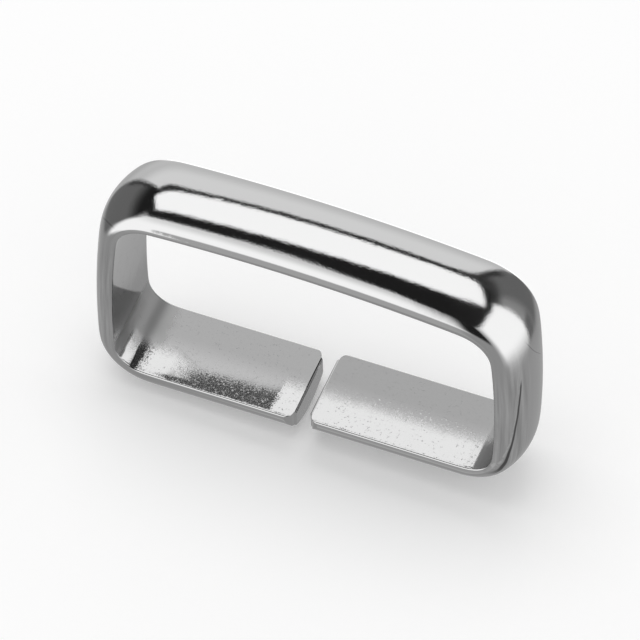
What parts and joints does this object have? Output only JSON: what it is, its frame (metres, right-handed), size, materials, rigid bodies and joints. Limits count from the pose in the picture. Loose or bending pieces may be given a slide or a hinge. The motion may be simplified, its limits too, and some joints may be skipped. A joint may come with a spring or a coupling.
{
  "type": "strap keeper",
  "caption": "Split metal loop, domed outside and flat inside, that slides along a strap and holds its free end; the slit in its lower bar lets it open and close round the strap.",
  "frame": {"origin": "middle of the opening that the strap passes through", "axes": "+X along the loop's long side, +Y along the strap, +Z towards the upper, unbroken bar; the slit is in the lower bar"},
  "size_m": [0.0234, 0.0046, 0.0151],
  "materials": {
    "plated_bar": "bright plating, polished outside and left as formed inside"
  },
  "bodies": {
    "root": {"keeper_loop": "plated_bar"}
  },
  "joints": []
}
